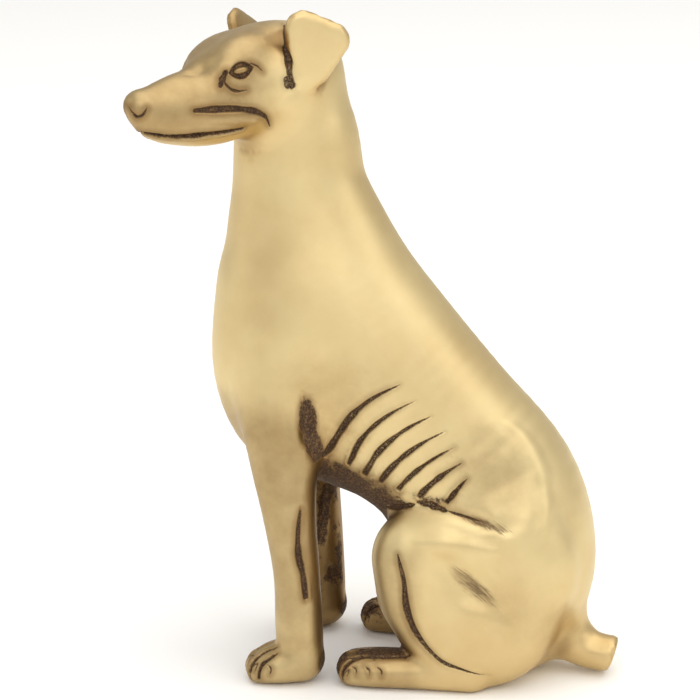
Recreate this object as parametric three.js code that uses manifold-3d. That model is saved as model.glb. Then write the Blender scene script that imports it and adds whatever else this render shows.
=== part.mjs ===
// A seated hound cast in brass: it sits upright on its haunches, its head turned to its left,
// its ears folded back and its tail docked to a stump. The figure is one casting, so it is one solid.
//
// The form is worked out as a field. Every mass of the body gives a signed distance, masses are blended
// where flesh runs together, and the skin is where the blended field is zero. The skin is meshed,
// thinned to few triangles, cut flat where the figure stands, and then carved with tapered gouges.
//
// Proportions are hundredths of the figure's own height, and the finished solid is in millimetres.
// x runs from the chest to the tail, y to the dog's right, and z up.

import * as THREE from "three";
import { mergeVertices } from "three/addons/utils/BufferGeometryUtils.js";
import Module from "manifold-3d";

// Driving dimensions.
const statueHeight = 300; // from the soles to the top of the ears
const gridStep = 0.8; // spacing of the grid that the field is meshed on
const skinTriangles = 8000; // triangles left in the skin after thinning, before carving
const carvedTriangles = 9400; // triangles left after carving, before the feet are ground flat

// Stance: how far each pair of limbs stands from the middle of the body.
const foreStance = 11.0;
const hindStance = 10.4;

// Head: where the skull sits on the neck, and how it is turned and dipped, in degrees.
const skullCentre = [-11.6, 0.2, 90.2];
const headTurn = 45;
const headDip = 4;
const headTilt = 9;

// How softly neighbouring masses run together.
const fleshBlend = 4;
const limbBlend = 2.4;
const browBlend = 2;
const pawBlend = 0.9;
const earBlend = 0.6;

// A smooth path through stations: each is a point with a radius in the plane of the body and a
// breadth, which is the radius across the body. Stations are joined by a Catmull-Rom curve.
function smoothPath(stations, stepsBetweenStations = 6) {
  const fine = [];
  const last = stations.length - 1;
  for (let i = 0; i < last; i += 1) {
    const before = stations[Math.max(i - 1, 0)];
    const after = stations[Math.min(i + 2, last)];
    for (let step = 0; step < stepsBetweenStations; step += 1) {
      const t = step / stepsBetweenStations;
      const next = stations[i + 1];
      fine.push(stations[i].map((value, k) => catmullRom(before[k], value, next[k], after[k], t)));
    }
  }
  fine.push([...stations[last]]);
  return fine;
}

function catmullRom(p0, p1, p2, p3, t) {
  return p1 + 0.5 * t * (p2 - p0 + t * (2 * p0 - 5 * p1 + 4 * p2 - p3 + t * (3 * (p1 - p2) + p3 - p0)));
}

// Distance to a tapered mass that follows such a path. Its sections are ellipses. Further off than
// farReach, where no blend notices, the distance to its bounding box stands in for it.
const farReach = 6;

function tapered(stations) {
  const path = smoothPath(stations);
  const reach = path.map(([, , , radius, breadth]) => Math.max(radius, breadth));
  const least = [0, 1, 2].map((k) => Math.min(...path.map((point, i) => point[k] - reach[i])));
  const most = [0, 1, 2].map((k) => Math.max(...path.map((point, i) => point[k] + reach[i])));
  const flat = Float64Array.from(path.flat());
  const distance = (x, y, z) => {
    const gapX = Math.max(least[0] - x, x - most[0], 0);
    const gapY = Math.max(least[1] - y, y - most[1], 0);
    const gapZ = Math.max(least[2] - z, z - most[2], 0);
    const gap = Math.sqrt(gapX * gapX + gapY * gapY + gapZ * gapZ);
    if (gap > farReach) return gap;
    let nearest = Infinity;
    for (let i = 0; i + 5 < flat.length; i += 5) {
      const ex = x - flat[i];
      const ey = y - flat[i + 1];
      const ez = z - flat[i + 2];
      const dx = flat[i + 5] - flat[i];
      const dy = flat[i + 6] - flat[i + 1];
      const dz = flat[i + 7] - flat[i + 2];
      const along = (ex * dx + ey * dy + ez * dz) / (dx * dx + dy * dy + dz * dz);
      const t = Math.min(Math.max(along, 0), 1);
      const u = ex - dx * t;
      const v = ey - dy * t;
      const w = ez - dz * t;
      const radius = flat[i + 3] + (flat[i + 8] - flat[i + 3]) * t;
      const breadth = flat[i + 4] + (flat[i + 9] - flat[i + 4]) * t;
      nearest = Math.min(nearest, ovalDistance(Math.sqrt(u * u + w * w), v, radius, breadth));
    }
    return nearest;
  };
  return Object.assign(distance, { least, most });
}

// Distance from an oval of half sizes a and b, close to true near its edge.
function ovalDistance(u, v, a, b) {
  const p = u / a;
  const q = v / b;
  const scaled = Math.sqrt(p * p + q * q);
  const slope = Math.sqrt((p * p) / (a * a) + (q * q) / (b * b));
  return slope < 1e-9 ? -Math.min(a, b) : (scaled * (scaled - 1)) / slope;
}

// Distance to an ellipsoid, turned about y by the given angle (positive lifts its front). Its box allows
// for any turn.
function ellipsoid([cx, cy, cz], [rx, ry, rz], lift = 0) {
  const cos = Math.cos(THREE.MathUtils.degToRad(lift));
  const sin = Math.sin(THREE.MathUtils.degToRad(lift));
  const span = Math.max(rx, ry, rz);
  const distance = (x, y, z) => {
    const u = (x - cx) * cos - (z - cz) * sin;
    const w = (x - cx) * sin + (z - cz) * cos;
    const v = y - cy;
    const p = u / rx;
    const q = v / ry;
    const r = w / rz;
    const scaled = Math.sqrt(p * p + q * q + r * r);
    const slope = Math.sqrt((p * p) / (rx * rx) + (q * q) / (ry * ry) + (r * r) / (rz * rz));
    return slope < 1e-9 ? -Math.min(rx, ry, rz) : (scaled * (scaled - 1)) / slope;
  };
  const centre = [cx, cy, cz];
  return Object.assign(distance, {
    least: centre.map((value) => value - span),
    most: centre.map((value) => value + span),
  });
}

function smoothUnion(a, b, softness) {
  const overlap = Math.max(softness - Math.abs(a - b), 0) / softness;
  return Math.min(a, b) - (overlap * overlap * softness) / 4;
}

function smoothCut(a, cutter, softness) {
  return -smoothUnion(-a, cutter, softness);
}

// Both sides of the body: the same mass at the dog's left (near side, -y) and right.
const sides = [-1, 1];

// Trunk: rump, loin, rib cage, chest and neck, as one tapered mass, and the keel of the breast before it.
const trunk = tapered([
  [18.2, 0, 12.0, 13.8, 12.0],
  [18.8, 0, 18.0, 14.8, 13.0],
  [16.6, 0, 26.8, 14.6, 12.0],
  [9.0, 0, 37.0, 13.7, 11.2],
  [-0.1, 0, 45.6, 15.2, 11.6],
  [-6.5, 0, 54.5, 14.8, 11.0],
  [-9.0, 0, 63.5, 12.3, 9.2],
  [-10.4, 0, 72.0, 9.9, 7.9],
  [-11.0, 0, 80.5, 8.9, 7.3],
  [-12.4, 0, 87.0, 7.0, 6.6],
]);
const breast = tapered([
  [-11.9, 0, 56, 10.1, 8.5],
  [-13.5, 0, 47, 10.1, 9.5],
  [-11.6, 0, 39, 9.2, 9.0],
  [-6, 0, 35.4, 7.3, 8.0],
  [1.5, 0, 33.0, 6.7, 8.5],
]);

function foreleg(side) {
  const y = side * foreStance;
  return tapered([
    [-9.5, side * (foreStance - 5.0), 50, 8.5, 5.2],
    [-11.3, side * (foreStance - 3.2), 42, 7.0, 4.8],
    [-11.4, side * (foreStance - 1.4), 34, 5.1, 4.4],
    [-10.5, y, 26, 3.9, 4.0],
    [-9.5, y, 17, 3.4, 3.6],
    [-9.2, y, 9, 3.5, 3.4],
    [-9.0, y, 4, 3.4, 3.4],
  ]);
}

function forepaw(side) {
  const y = side * foreStance;
  const setBack = side > 0 ? 1.6 : 0;
  return tapered([
    [-8.8, y, 3.4, 3.2, 3.6],
    [-12.0 + setBack, y, 2.8, 3.2, 4.0],
    [-14.6 + setBack, y, 2.0, 2.6, 3.6],
  ]);
}

function thigh(side) {
  return ellipsoid([16.5, side * (hindStance - 2.4), 16.5], [14.6, 6.0, 11.0], -16);
}

function femur(side) {
  return tapered([
    [20, side * (hindStance - 3.4), 24, 8, 5.0],
    [12, side * (hindStance - 1.8), 22, 6.4, 5.0],
    [7.9, side * (hindStance - 1.0), 20.9, 5.9, 4.2],
  ]);
}

function shin(side) {
  return tapered([
    [7.0, side * (hindStance - 1.0), 19, 5.0, 4.2],
    [7.6, side * (hindStance - 0.4), 13, 4.4, 3.8],
    [10, side * hindStance, 8, 3.6, 3.2],
    [12.5, side * hindStance, 4, 3.2, 3.2],
  ]);
}

function calf(side) {
  return ellipsoid([17.0, side * (hindStance - 1.4), 9.4], [11.0, 5.4, 9.6], -8);
}

function hindFoot(side) {
  const y = side * hindStance;
  const setBack = side > 0 ? 0.6 : 0;
  return tapered([
    [16, y, 3, 3.6, 3.6],
    [8, y, 2.6, 3.0, 3.6],
    [2 + setBack, y, 2.4, 2.9, 3.8],
    [-1 + setBack, y, 2.2, 2.6, 3.5],
  ]);
}

const tail = tapered([
  [26, -0.5, 9, 5.0, 4.5],
  [30.5, -1, 4.9, 3.5, 3.4],
  [34.0, -1.6, 3.3, 2.8, 2.9],
  [40, -2.6, 3.2, 2.6, 2.8],
]);
const tailCut = [37.3, 0.3]; // where the docked tail ends on the floor, and how its cut leans

// The head is shaped in its own frame: forward is -u, the dog's right is v and up is w.
const headFrame = new THREE.Matrix4()
  .makeTranslation(...skullCentre)
  .multiply(new THREE.Matrix4().makeRotationZ(THREE.MathUtils.degToRad(headTurn)))
  .multiply(new THREE.Matrix4().makeRotationY(THREE.MathUtils.degToRad(-headDip)))
  .multiply(new THREE.Matrix4().makeRotationX(THREE.MathUtils.degToRad(-headTilt)));

const skull = tapered([
  [1.0, 0, -0.3, 6.2, 6.2],
  [-3.5, 0, -0.2, 7.2, 7.0],
  [-8, 0, -0.5, 7.2, 6.8],
  [-12.5, 0, -1.9, 6.6, 5.7],
  [-16, 0, -2.7, 5.7, 4.7],
  [-19.2, 0, -2.6, 5.1, 4.0],
  [-22.2, 0, -2.4, 4.3, 3.4],
  [-24.2, 0, -2.0, 3.3, 2.8],
]);
const brows = sides.map((side) => ellipsoid([-11, side * 3.4, 3.0], [4.6, 2.8, 2.6], -22));
const nosePad = ellipsoid([-26.3, 0, -0.5], [1.5, 1.8, 1.5]);

// Ears: a thick flap, a rounded triangle that points back. It leans out from the skull towards its tip.
// The right ear stands a little higher.
const earCentres = { "-1": [-0.9, 8.7, 2.5], 1: [-0.7, 8.8, 3.2] };
const earSplay = 30; // degrees between the flap and the middle plane of the head
const earLean = 8; // degrees that the flap's lower edge stands further out than its upper edge
const earThickness = 1.0;
const earRound = 2.7;
const earCorners = [[-1.7, 3.2], [2.0, 0.9], [-1.8, -3.3]];

function triangleDistance(corners, a, b) {
  let squared = Infinity;
  let inside = true;
  corners.forEach(([pa, pb], i) => {
    const [qa, qb] = corners[(i + 1) % 3];
    const ea = qa - pa;
    const eb = qb - pb;
    const t = Math.min(Math.max(((a - pa) * ea + (b - pb) * eb) / (ea * ea + eb * eb), 0), 1);
    const da = a - pa - ea * t;
    const db = b - pb - eb * t;
    squared = Math.min(squared, da * da + db * db);
    if (ea * (b - pb) - eb * (a - pa) > 0) inside = false;
  });
  return inside ? -Math.sqrt(squared) : Math.sqrt(squared);
}

function ear(side) {
  const centre = earCentres[side];
  const cos = Math.cos(THREE.MathUtils.degToRad(earSplay));
  const sin = Math.sin(THREE.MathUtils.degToRad(earSplay));
  const leanCos = Math.cos(THREE.MathUtils.degToRad(earLean));
  const leanSin = Math.sin(THREE.MathUtils.degToRad(earLean));
  return (u, v, w) => {
    const du = u - centre[0];
    const dv = side * v - centre[1];
    const rise = w - centre[2];
    const back = du * cos + dv * sin;
    const level = dv * cos - du * sin;
    const out = level * leanCos + rise * leanSin;
    const up = rise * leanCos - level * leanSin;
    if (back * back + out * out + up * up > 150) return 6;
    const outline = triangleDistance(earCorners, back, up) - earRound;
    return smoothCut(outline, -(Math.abs(out) - earThickness), 1.2);
  };
}
const earSpan = 7;

const forelegs = sides.map(foreleg);
const hinds = sides.flatMap((side) => [thigh(side), femur(side), shin(side), calf(side)]);
const feet = sides.flatMap((side) => [forepaw(side), hindFoot(side)]);
const ears = sides.map(ear);

const field = (() => {
  const m = headFrame.clone().invert().elements;
  return (x, y, z) => {
    let d = smoothUnion(trunk(x, y, z), breast(x, y, z), fleshBlend);
    for (const leg of forelegs) d = smoothUnion(d, leg(x, y, z), limbBlend);
    for (const hind of hinds) d = smoothUnion(d, hind(x, y, z), limbBlend);
    for (const foot of feet) d = smoothUnion(d, foot(x, y, z), pawBlend);
    d = smoothUnion(d, smoothCut(tail(x, y, z), tailCut[0] - x + tailCut[1] * (z - 5), 0.8), limbBlend);
    const u = m[0] * x + m[4] * y + m[8] * z + m[12];
    const v = m[1] * x + m[5] * y + m[9] * z + m[13];
    const w = m[2] * x + m[6] * y + m[10] * z + m[14];
    d = smoothUnion(d, skull(u, v, w), fleshBlend);
    for (const rise of [...brows, nosePad]) d = smoothUnion(d, rise(u, v, w), browBlend);
    for (const flap of ears) d = smoothUnion(d, flap(u, v, w), earBlend);
    return d;
  };
})();

// Marching tetrahedra: every grid cell is split into six tetrahedra round its diagonal, and the skin
// crosses each of them as one triangle or two. Unlike larger cells, they always give a closed surface.
const pathsAcrossCell = [[1, 2], [1, 4], [2, 1], [2, 4], [4, 1], [4, 2]];
const tetrahedra = pathsAcrossCell.map(([first, second]) => [0, first, first | second, 7]);

function meshOf(distance, low, high, step) {
  const [nx, ny, nz] = low.map((value, k) => Math.ceil((high[k] - value) / step) + 1);
  const at = (i, j, k) => i + nx * (j + ny * k);
  const value = new Float32Array(nx * ny * nz);
  for (let k = 0; k < nz; k += 1)
    for (let j = 0; j < ny; j += 1)
      for (let i = 0; i < nx; i += 1)
        value[at(i, j, k)] = distance(low[0] + i * step, low[1] + j * step, low[2] + k * step);

  const offset = (corner) => [corner & 1, (corner >> 1) & 1, (corner >> 2) & 1];
  const offsets = [0, 1, 2, 3, 4, 5, 6, 7].map(offset);
  const jump = offsets.map(([i, j, k]) => at(i, j, k));
  const points = [];
  const triangles = [];
  const known = new Map();

  const crossing = (cell, here, p, q) => {
    const [from, to] = p < q ? [p, q] : [q, p];
    const key = (here + jump[from]) * 8 + (to ^ from);
    let index = known.get(key);
    if (index === undefined) {
      const a = value[here + jump[from]];
      const t = a / (a - value[here + jump[to]]);
      index = points.length / 3;
      for (let n = 0; n < 3; n += 1) {
        const start = cell[n] + offsets[from][n];
        points.push(low[n] + step * (start + t * (offsets[to][n] - offsets[from][n])));
      }
      known.set(key, index);
    }
    return index;
  };

  // The middle of the edge between two corners, doubled, tells which way a face looks.
  const middle = (p, q) => offsets[p].map((start, n) => start + offsets[q][n]);
  const addFace = (cell, here, edges) => {
    const [a, b, c] = edges.map(([inside, outside]) => middle(inside, outside));
    const [inside, outside] = edges[0];
    const u = new THREE.Vector3(b[0] - a[0], b[1] - a[1], b[2] - a[2]);
    const v = new THREE.Vector3(c[0] - a[0], c[1] - a[1], c[2] - a[2]);
    const out = offsets[outside].map((end, n) => end - offsets[inside][n]);
    const facesOut = u.cross(v).dot(new THREE.Vector3(...out)) > 0;
    const [x, y, z] = edges.map(([p, q]) => crossing(cell, here, p, q));
    triangles.push(...(facesOut ? [x, y, z] : [x, z, y]));
  };

  for (let k = 0; k + 1 < nz; k += 1)
    for (let j = 0; j + 1 < ny; j += 1)
      for (let i = 0; i + 1 < nx; i += 1) {
        const here = at(i, j, k);
        const filled = jump.map((step) => value[here + step] < 0);
        if (filled.every((inside) => inside === filled[0])) continue;
        for (const corners of tetrahedra) {
          const inner = corners.filter((corner) => filled[corner]);
          const outer = corners.filter((corner) => !filled[corner]);
          if (!inner.length || !outer.length) continue;
          if (inner.length === 1) addFace([i, j, k], here, outer.map((corner) => [inner[0], corner]));
          else if (outer.length === 1) addFace([i, j, k], here, inner.map((corner) => [corner, outer[0]]));
          else {
            const [p, q] = inner;
            const [r, s] = outer;
            addFace([i, j, k], here, [[p, r], [p, s], [q, s]]);
            addFace([i, j, k], here, [[p, r], [q, s], [q, r]]);
          }
        }
      }
  return { points: Float64Array.from(points), triangles: Uint32Array.from(triangles) };
}

// Thins a closed mesh by folding edges, cheapest first. Each vertex carries a quadric, the sum of squared
// distances to the planes of the faces it stands for, and a fold's cost is that sum at the new vertex.
function thinned({ points, triangles }, wanted) {
  const vertexCount = points.length / 3;
  const tripleOf = (list, i) => [list[3 * i], list[3 * i + 1], list[3 * i + 2]];
  const place = Array.from({ length: vertexCount }, (_, i) => tripleOf(points, i));
  const quadric = Array.from({ length: vertexCount }, () => new Float64Array(10));
  const facesAt = Array.from({ length: vertexCount }, () => new Set());
  const version = new Int32Array(vertexCount);
  const faces = Array.from({ length: triangles.length / 3 }, (_, i) => tripleOf(triangles, i));

  const crossOf = (a, b, c) => {
    const ux = b[0] - a[0];
    const uy = b[1] - a[1];
    const uz = b[2] - a[2];
    const vx = c[0] - a[0];
    const vy = c[1] - a[1];
    const vz = c[2] - a[2];
    return [uy * vz - uz * vy, uz * vx - ux * vz, ux * vy - uy * vx];
  };
  faces.forEach((face, id) => {
    const [a, b, c] = face.map((v) => place[v]);
    const n = crossOf(a, b, c);
    const size = Math.sqrt(n[0] * n[0] + n[1] * n[1] + n[2] * n[2]) || 1e-12;
    const plane = [n[0] / size, n[1] / size, n[2] / size];
    plane.push(-(plane[0] * a[0] + plane[1] * a[1] + plane[2] * a[2]));
    for (const v of face) {
      facesAt[v].add(id);
      let k = 0;
      for (let i = 0; i < 4; i += 1)
        for (let j = i; j < 4; j += 1) {
          quadric[v][k] += plane[i] * plane[j] * size;
          k += 1;
        }
    }
  });

  const costAt = (q, [x, y, z]) =>
    q[0] * x * x + 2 * q[1] * x * y + 2 * q[2] * x * z + 2 * q[3] * x + q[4] * y * y +
    2 * q[5] * y * z + 2 * q[6] * y + q[7] * z * z + 2 * q[8] * z + q[9];

  // The point where the quadric is least, or null where it has no clear minimum.
  const leastPoint = (q) => {
    const minor = [q[4] * q[7] - q[5] * q[5], q[2] * q[5] - q[1] * q[7], q[1] * q[5] - q[2] * q[4]];
    const det = q[0] * minor[0] + q[1] * minor[1] + q[2] * minor[2];
    const trace = q[0] + q[4] + q[7];
    if (Math.abs(det) < 1e-5 * trace * trace * trace) return null;
    const inverse = [
      minor[0], minor[1], minor[2],
      q[0] * q[7] - q[2] * q[2], q[1] * q[2] - q[0] * q[5], q[0] * q[4] - q[1] * q[1],
    ];
    return [
      -(inverse[0] * q[3] + inverse[1] * q[6] + inverse[2] * q[8]) / det,
      -(inverse[1] * q[3] + inverse[3] * q[6] + inverse[4] * q[8]) / det,
      -(inverse[2] * q[3] + inverse[4] * q[6] + inverse[5] * q[8]) / det,
    ];
  };

  const heap = [];
  const push = (item) => {
    heap.push(item);
    let i = heap.length - 1;
    while (i > 0) {
      const parent = (i - 1) >> 1;
      if (heap[parent].cost <= heap[i].cost) break;
      [heap[parent], heap[i]] = [heap[i], heap[parent]];
      i = parent;
    }
  };
  const pop = () => {
    const top = heap[0];
    const end = heap.pop();
    if (heap.length) {
      heap[0] = end;
      let i = 0;
      for (;;) {
        let child = 2 * i + 1;
        if (child >= heap.length) break;
        if (child + 1 < heap.length && heap[child + 1].cost < heap[child].cost) child += 1;
        if (heap[i].cost <= heap[child].cost) break;
        [heap[child], heap[i]] = [heap[i], heap[child]];
        i = child;
      }
    }
    return top;
  };
  const propose = (a, b) => {
    const q = quadric[a].map((value, i) => value + quadric[b][i]);
    const middle = [0, 1, 2].map((i) => (place[a][i] + place[b][i]) / 2);
    const span = Math.hypot(...[0, 1, 2].map((i) => place[a][i] - place[b][i]));
    const best = leastPoint(q);
    const near = best && Math.hypot(...[0, 1, 2].map((i) => best[i] - middle[i])) < span;
    const target = near ? best : middle;
    const cost = Math.max(costAt(q, target), 0) + 1e-6 * span;
    push({ cost, a, b, target, q, age: version[a] + version[b] });
  };
  const neighboursOf = (v) => {
    const found = new Set();
    for (const id of facesAt[v]) for (const other of faces[id]) if (other !== v) found.add(other);
    return found;
  };
  faces.forEach(([a, b, c]) => {
    for (const [p, r] of [[a, b], [b, c], [c, a]]) if (p < r) propose(p, r);
  });

  // A fold must leave the surface closed, so the edge's ends share two neighbours, and turn no face over.
  const canFold = ({ a, b, target }) => {
    const around = neighboursOf(b);
    const shared = [...neighboursOf(a)].filter((v) => around.has(v));
    if (shared.length !== 2) return false;
    for (const [kept, gone] of [[a, b], [b, a]])
      for (const id of facesAt[kept]) {
        if (faces[id].includes(gone)) continue;
        const before = crossOf(...faces[id].map((v) => place[v]));
        const after = crossOf(...faces[id].map((v) => (v === kept ? target : place[v])));
        const dot = before[0] * after[0] + before[1] * after[1] + before[2] * after[2];
        if (dot < 0.3 * Math.hypot(...before) * Math.hypot(...after)) return false;
      }
    return true;
  };

  let left = faces.length;
  while (left > wanted && heap.length) {
    const fold = pop();
    const { a, b } = fold;
    const outOfDate = !facesAt[a].size || !facesAt[b].size || fold.age !== version[a] + version[b];
    if (outOfDate || !canFold(fold)) continue;
    for (const id of [...facesAt[b]]) {
      if (faces[id].includes(a)) {
        for (const v of faces[id]) facesAt[v].delete(id);
        faces[id] = null;
        left -= 1;
      } else {
        faces[id] = faces[id].map((v) => (v === b ? a : v));
        facesAt[a].add(id);
      }
    }
    facesAt[b].clear();
    place[a] = fold.target;
    quadric[a] = fold.q;
    version[a] += 1;
    version[b] += 1;
    for (const v of neighboursOf(a)) propose(a, v);
  }
  const alive = faces.filter(Boolean);
  const used = [...new Set(alive.flat())];
  const renumbered = new Map(used.map((v, i) => [v, i]));
  return {
    points: Float64Array.from(used.flatMap((v) => place[v])),
    triangles: Uint32Array.from(alive.flat().map((v) => renumbered.get(v))),
  };
}

const wasm = await Module();
wasm.setup();

function solidFrom(points, triangles) {
  return new wasm.Manifold(new wasm.Mesh({
    numProp: 3,
    vertProperties: Float32Array.from(points),
    triVerts: Uint32Array.from(triangles),
  }));
}

function solidOf(geometry) {
  const bare = new THREE.BufferGeometry();
  bare.setAttribute("position", geometry.getAttribute("position"));
  if (geometry.index) bare.setIndex(geometry.index);
  const merged = mergeVertices(bare, 1e-4);
  return solidFrom(merged.attributes.position.array, merged.index.array);
}

function geometryOf(solid) {
  const { vertProperties, triVerts } = solid.getMesh();
  const geometry = new THREE.BufferGeometry();
  geometry.setAttribute("position", new THREE.BufferAttribute(vertProperties, 3));
  geometry.setIndex(new THREE.BufferAttribute(triVerts, 1));
  return geometry;
}

// The grid covers every mass, those of the head by way of the head's own frame, and a margin round them.
const margin = 2.5 * gridStep;
const grid = new THREE.Box3();
const boxOf = ({ least, most }) => new THREE.Box3(new THREE.Vector3(...least), new THREE.Vector3(...most));
for (const mass of [trunk, breast, tail, ...forelegs, ...hinds, ...feet]) grid.union(boxOf(mass));
for (const mass of [skull, nosePad, ...brows]) grid.union(boxOf(mass).applyMatrix4(headFrame));
for (const side of sides) {
  const [u, v, w] = earCentres[side];
  grid.union(new THREE.Box3().setFromCenterAndSize(
    new THREE.Vector3(u, side * v, w).applyMatrix4(headFrame),
    new THREE.Vector3(2, 2, 2).multiplyScalar(earSpan),
  ));
}
grid.expandByScalar(margin);
const low = grid.min.toArray();
const high = grid.max.toArray();
const skin = thinned(meshOf(field, low, high, gridStep), skinTriangles);

// Moves a point onto the skin, and gives the direction out of the skin there.
function onSkin(start) {
  const point = start.clone();
  const out = new THREE.Vector3();
  const reach = 0.05;
  for (let turn = 0; turn < 8; turn += 1) {
    const { x, y, z } = point;
    out.set(
      field(x + reach, y, z) - field(x - reach, y, z),
      field(x, y + reach, z) - field(x, y - reach, z),
      field(x, y, z + reach) - field(x, y, z - reach),
    ).divideScalar(2 * reach);
    point.addScaledVector(out, -field(x, y, z) / out.lengthSq());
  }
  return { point, out: out.normalize() };
}

// A gouge cut: a V section that follows a path on the skin, widest and deepest part of the way along and
// running out to a point at both ends. Its sides rise past the skin so that the cut is clean.
const gougeRise = 0.7;

function gouge(stations, halfWidth, depth, fullest = 0.5) {
  const path = smoothPath(stations, 3).map((station) => onSkin(new THREE.Vector3(...station)));
  const last = path.length - 1;
  const corners = [];
  const addCorner = (vector) => corners.push(vector.x, vector.y, vector.z);
  path.forEach(({ point, out }, i) => {
    if (i === 0 || i === last) {
      addCorner(point.clone().addScaledVector(out, 0.3 * gougeRise));
      return;
    }
    const way = path[i + 1].point.clone().sub(path[i - 1].point);
    const across = out.clone().cross(way).normalize();
    const along = i / last;
    const swell = along < fullest ? along / fullest : (1 - along) / (1 - fullest);
    const size = Math.sin((Math.PI / 2) * swell) ** 0.6;
    const spread = halfWidth * size * (1 + gougeRise / depth);
    addCorner(point.clone().addScaledVector(out, -depth * size));
    addCorner(point.clone().addScaledVector(out, gougeRise).addScaledVector(across, spread));
    addCorner(point.clone().addScaledVector(out, gougeRise).addScaledVector(across, -spread));
  });
  const faces = [];
  for (let k = 0; k < 3; k += 1) {
    const next = (k + 1) % 3;
    faces.push(0, 1 + next, 1 + k);
    for (let i = 1; i + 1 < last; i += 1) {
      const here = 3 * i - 2;
      faces.push(here + k, here + next, here + 3 + k, here + next, here + 3 + next, here + 3 + k);
    }
    const end = 3 * (last - 1) - 2;
    faces.push(end + k, end + next, end + 3);
  }
  return solidFrom(corners, faces);
}

const bodyPath = (side, stations) => stations.map(([x, y, z]) => [x, side * y, z]);
const headPath = (side, stations) =>
  stations.map(([u, v, w]) => new THREE.Vector3(u, side * v, w).applyMatrix4(headFrame).toArray());

// Ribs: seven cuts down each flank. They fan out, and the hind ones are shorter and straighter.
const ribCount = 7;
const ribTops = [[5.8, 46.6], [15.5, 32.9]];
const ribFeet = [[-4.6, 34.5], [12.8, 29.3]];
const ribSide = 11;

function rib(side, i) {
  const t = i / (ribCount - 1);
  const swing = Math.sin(Math.PI * t);
  const mix = ([a, b], k, share) => a[k] + (b[k] - a[k]) * share;
  const top = [mix(ribTops, 0, t) + 1.5 * swing, mix(ribTops, 1, t)];
  const foot = [mix(ribFeet, 0, 0.8 * t + 0.2 * t ** 5), mix(ribFeet, 1, t) - 1.1 * swing];
  const bow = 0.135 - 0.11 * t;
  const stations = [0, 0.25, 0.5, 0.75, 1].map((s) => {
    const bulge = 4 * s * (1 - s) * bow;
    return [
      top[0] + s * (foot[0] - top[0]) - bulge * (top[1] - foot[1]),
      side * ribSide,
      top[1] + s * (foot[1] - top[1]) + bulge * (top[0] - foot[0]),
    ];
  });
  return gouge(stations, 0.45 - 0.08 * t, 0.45, 0.6);
}

// Toes: three cuts fan over the front of each foot.
function toes(side, stance, tip, height) {
  return [-1, 0, 1].map((step) => {
    const y = stance + 2.3 * step;
    const spread = stance + 3 * step;
    const back = 0.6 * step * step;
    return gouge(bodyPath(side, [
      [tip + 3.8 + back, y, height],
      [tip + 1.1 + back, spread, 0.7 * height],
      [tip + 0.4 + back, spread, 1.0],
    ]), 0.32, 0.5, 0.55);
  });
}

const cuts = sides.flatMap((side) => [
  ...Array.from({ length: ribCount }, (_, i) => rib(side, i)),
  ...toes(side, foreStance, side > 0 ? -15.6 : -17.2, 5.4),
  ...toes(side, hindStance, -3.6, 4.6),
  // Where the belly meets the thigh.
  gouge(bodyPath(side, [
    [3.6, 7.9, 26.6], [9.1, 11, 28.6], [15, 12.5, 27.9], [20.5, 12.8, 26],
  ]), 0.6, 0.6, 0.35),
  // The hollow behind the elbow, and the sinew down the outside of the foreleg.
  gouge(bodyPath(side, [
    [-8.3, 12.1, 45], [-7.3, 12.0, 41], [-7.7, 12.3, 36], [-7.4, 12.4, 32],
  ]), 1.0, 1.1, 0.35),
  gouge(bodyPath(side, [[-8.2, 14.1, 28], [-8.3, 14.5, 21.5], [-7.6, 14, 14]]), 0.35, 0.45, 0.6),
  // The shin, where the lower leg folds under the thigh, and the hollow of the thigh.
  gouge(bodyPath(side, [
    [5.9, 13.9, 21.6], [7.1, 13.9, 13.5], [9.6, 13.9, 8.2], [14, 14, 4.6], [19, 13.4, 3.4],
  ]), 0.45, 0.55, 0.4),
  gouge(bodyPath(side, [[14.3, 14.1, 18.9], [17.8, 14.3, 16.4], [21, 14.2, 14.2]]), 0.5, 0.5, 0.5),
  // The scoop in front of the hip.
  gouge(bodyPath(side, [
    [20.3, 7.3, 40.5], [23.8, 8.8, 35], [25, 10.4, 29.5], [23.4, 12.4, 25],
  ]), 1.3, 0.35, 0.55),
  // Mouth, the fold of the lip above it, the upper eyelid, and the line under the eye.
  gouge(headPath(side, [
    [-26.4, 0.3, -4.5], [-24.1, 1.9, -5.5], [-18.8, 3.2, -6.3], [-12.3, 4.2, -7.0],
  ]), 0.4, 0.8, 0.5),
  gouge(headPath(side, [
    [-19.6, 4.2, -2.7], [-13.7, 5.4, -3.7], [-9.6, 5.0, -5.3], [-7.4, 3.9, -7.5],
  ]), 0.5, 0.55, 0.65),
  gouge(headPath(side, [
    [-15.3, 5.0, -0.1], [-14.6, 5.4, 1.9], [-12.2, 6.2, 3.3], [-9.4, 6.6, 0.9],
  ]), 0.36, 0.5, 0.4),
  gouge(headPath(side, [[-15.0, 5.3, 0.6], [-14.0, 5.6, -0.7], [-12.0, 6.1, -1.4]]), 0.22, 0.35, 0.5),
  // The lower edge of the nose, and the fold before the ear.
  gouge(headPath(side, [[-25.9, 2.2, -1.2], [-26.8, 1.7, -2.1], [-27.5, -0.3, -1.8]]), 0.25, 0.4, 0.6),
  gouge(headPath(side, [[-3.4, 4.4, 6.0], [-5.3, 6.8, 2.0], [-5.5, 7.1, -2.0]]), 0.55, 0.6, 0.7),
]);

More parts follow.
